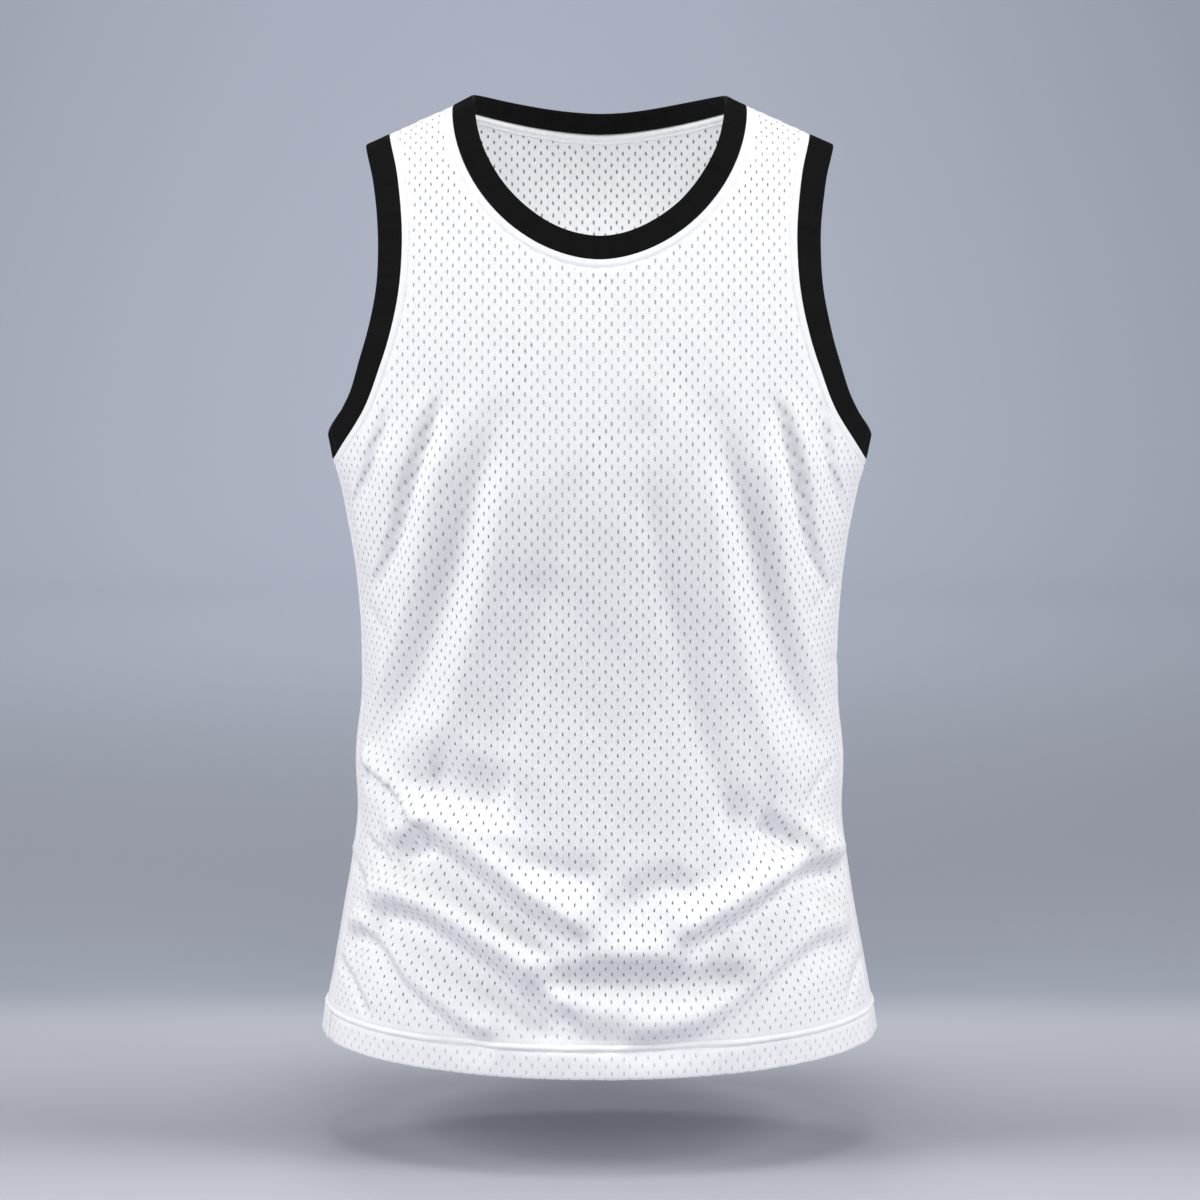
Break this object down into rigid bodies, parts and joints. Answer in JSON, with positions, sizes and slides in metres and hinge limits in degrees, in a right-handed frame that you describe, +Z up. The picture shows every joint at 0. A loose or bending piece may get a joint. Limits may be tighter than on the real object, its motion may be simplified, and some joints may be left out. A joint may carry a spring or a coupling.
{
  "type": "basketball practice jersey",
  "caption": "Sleeveless basketball practice jersey in white pin-hole mesh with black rib bindings at the neck and armholes, held open in the hollow form it has when worn.",
  "frame": {"origin": "halfway between the undersides of the two shoulder straps, where the wearer's shoulders carry the jersey", "axes": "+Z up, from the hem to the shoulders; -Y towards the front of the jersey; +X towards the wearer's left side"},
  "size_m": [0.4284, 0.2678, 0.7181],
  "materials": {
    "mesh_white": "white polyester pin-hole mesh, slight sheen",
    "rib_black": "black fine rib knit, matt with a soft sheen",
    "tape_white": "white twill neck tape, matt"
  },
  "bodies": {
    "root": {"front": "mesh_white", "back": "mesh_white", "hem_front": "mesh_white", "hem_back": "mesh_white", "neck_binding": "rib_black", "armhole_binding_left": "rib_black", "armhole_binding_right": "rib_black", "neck_tape": "tape_white"}
  },
  "joints": []
}
